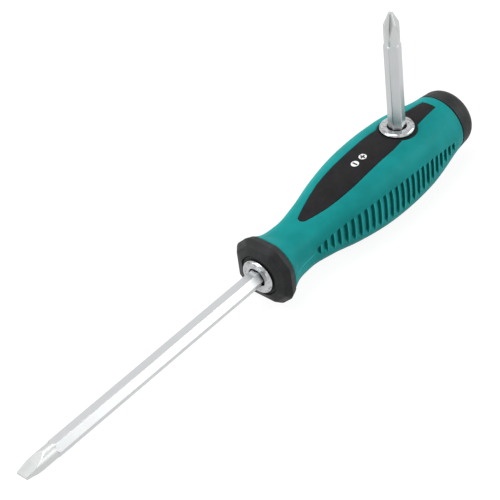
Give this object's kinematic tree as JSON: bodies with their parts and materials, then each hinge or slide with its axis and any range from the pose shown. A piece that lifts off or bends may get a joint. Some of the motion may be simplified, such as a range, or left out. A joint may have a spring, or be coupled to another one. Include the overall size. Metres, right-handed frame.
{
  "type": "reversible screwdriver",
  "caption": "Screwdriver with a waisted soft-grip handle and double-ended hexagonal blades, one in the nose and one across the rear, that pull out and go back in the other way round.",
  "frame": {"origin": "centre of the end cap's flat rear face, on the handle's axis", "axes": "+X forward along the handle to the long blade's tip, +Z along the short blade, +Y across"},
  "size_m": [0.2345, 0.0328, 0.0802],
  "materials": {
    "soft_rubber": "satin moulded thermoplastic rubber, teal",
    "hard_plastic": "fine-textured moulded polypropylene, black",
    "panel_plastic": "matt moulded ABS, deep black",
    "chrome_plate": "satin to polished chrome plate on steel",
    "plain_steel": "plain drawn steel"
  },
  "bodies": {
    "handle": {"grip_sleeve": "soft_rubber", "handle_core": "hard_plastic", "front_collar": "hard_plastic", "end_cap": "hard_plastic", "panel_inlay": "panel_plastic", "front_ferrule": "chrome_plate", "cross_ferrule": "chrome_plate", "front_socket": "plain_steel", "cross_socket": "plain_steel", "front_retaining_ring": "plain_steel", "cross_retaining_ring": "plain_steel", "front_thrust_plate": "plain_steel", "cross_thrust_plate": "plain_steel"},
    "long_blade": {"long_blade": "chrome_plate"},
    "short_blade": {"short_blade": "chrome_plate"}
  },
  "joints": [
    {"name": "long_blade_slide", "type": "slide", "parent": "handle", "child": "long_blade", "axis": [1, 0, 0], "range_m": [0, 0.045]},
    {"name": "short_blade_slide", "type": "slide", "parent": "handle", "child": "short_blade", "axis": [0, 0, 1], "range_m": [0, 0.0232]}
  ]
}
